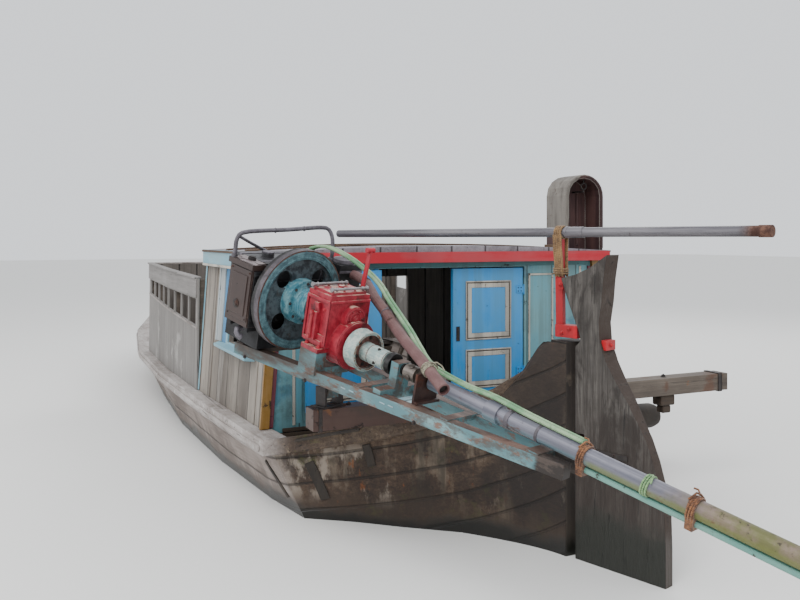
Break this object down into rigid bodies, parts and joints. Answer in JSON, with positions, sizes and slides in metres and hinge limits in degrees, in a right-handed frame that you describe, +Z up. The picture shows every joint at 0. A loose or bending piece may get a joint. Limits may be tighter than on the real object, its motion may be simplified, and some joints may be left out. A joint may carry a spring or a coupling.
{
  "type": "longtail river cargo boat",
  "caption": "Wooden river cargo boat with a roofed cabin and slatted hold sides, a longtail engine on its port quarter and a hung plank rudder with a pipe tiller.",
  "frame": {"origin": "on the waterline plane, amidships, on the hull's centreline", "axes": "+X to starboard, +Y forward to the bow, +Z up"},
  "size_m": [3.3252, 12.8755, 2.595],
  "materials": {
    "dark_wood": "weathered tarred planks",
    "grey_wood": "weathered bare boards",
    "brown_wood": "weathered dark boards",
    "lashing": "tan strap wound on",
    "teal_paint": "worn teal paint on boards",
    "blue_paint": "worn sky blue paint on boards",
    "pale_blue_paint": "worn pale blue paint on boards",
    "red_paint": "faded red paint on board",
    "ochre_paint": "worn ochre paint on board",
    "gear_red": "worn red paint on castings",
    "red_iron": "worn red paint",
    "iron": "dark greasy iron",
    "brown_iron": "rusty brown sheet and plate",
    "blue_iron": "worn blue-green paint on iron",
    "coupling_paint": "chipped pale green paint",
    "steel": "galvanised pipe, dull and rust-flecked",
    "hose": "faded green-white hose"
  },
  "bodies": {
    "hull": {"hull_shell": "dark_wood", "keel": "dark_wood", "stern_post": "dark_wood", "stem_post": "dark_wood", "stern_deck": "grey_wood", "fore_deck": "grey_wood", "floor_boards": "grey_wood", "stern_frame": "grey_wood", "hold_frame_aft": "grey_wood", "hold_frame_fore": "grey_wood", "gunwale_port": "grey_wood", "gunwale_starboard": "grey_wood", "cabin_wall_port": "grey_wood", "cabin_wall_starboard": "grey_wood", "bulwark_port": "grey_wood", "bulwark_starboard": "grey_wood", "aft_bulkhead": "teal_paint", "bulkhead_sill": "brown_wood", "fore_bulkhead": "grey_wood", "hold_front_board": "grey_wood", "corner_post_port": "ochre_paint", "corner_post_starboard": "ochre_paint", "roof": "grey_wood", "fascia_aft": "red_paint", "fascia_port": "pale_blue_paint", "fascia_starboard": "pale_blue_paint", "roof_cowl": "brown_iron", "crossbeam": "grey_wood", "tail_bearer": "iron", "gudgeon_1": "iron", "gudgeon_2": "iron"},
    "port_door": {"door_port": "blue_paint"},
    "starboard_door": {"door_starboard": "blue_paint"},
    "longtail": {"engine_frame": "blue_iron", "tube_bracket": "brown_iron", "engine_block": "iron", "radiator_box": "brown_iron", "air_cleaner": "iron", "fuel_tank": "iron", "engine_hoop": "steel", "gearbox": "gear_red", "gear_lever": "gear_red", "tail_tube": "steel", "tail_stay": "blue_iron", "tube_band_1": "brown_iron", "tube_band_2": "brown_iron", "tube_band_3": "brown_iron", "exhaust_pipe": "brown_iron", "coolant_hose_1": "hose", "coolant_hose_2": "hose"},
    "flywheel_body": {"flywheel": "blue_iron"},
    "shaft_body": {"shaft_coupling": "coupling_paint", "propeller_shaft": "steel", "propeller": "steel"},
    "rudder": {"rudder_blade": "grey_wood", "rudder_iron": "red_iron", "tiller": "steel", "tiller_lashing": "lashing"}
  },
  "joints": [
    {"name": "rudder_turn", "type": "hinge", "parent": "hull", "child": "rudder", "pos_m": [0, -4.64, 0.3], "axis": [0, 0, 1], "range_deg": [-42, 8]},
    {"name": "door_port_swing", "type": "hinge", "parent": "hull", "child": "port_door", "pos_m": [-0.504, -3.186, 1], "axis": [0, 0, 1], "range_deg": [0, 178]},
    {"name": "door_starboard_swing", "type": "hinge", "parent": "hull", "child": "starboard_door", "pos_m": [0.6, -3.186, 1], "axis": [0, 0, 1], "range_deg": [0, 170]},
    {"name": "tail_tilt", "type": "hinge", "parent": "hull", "child": "longtail", "pos_m": [-1.13021, -3.93869, 0.83424], "axis": [0.9426, 0.3338, 0], "range_deg": [-8, 6]},
    {"name": "flywheel_spin", "type": "hinge", "parent": "longtail", "child": "flywheel_body", "pos_m": [-1.29282, -3.94385, 1.31999], "axis": [-0.3256, 0.9196, 0.2198], "continuous": true},
    {"name": "shaft_spin", "type": "hinge", "parent": "longtail", "child": "shaft_body", "pos_m": [-1.25, -3.9, 1.2], "axis": [-0.3256, 0.9196, 0.2198], "continuous": true}
  ],
  "couplings": [
    {"joint": "shaft_spin", "follows": "flywheel_spin", "ratio": -0.5}
  ]
}
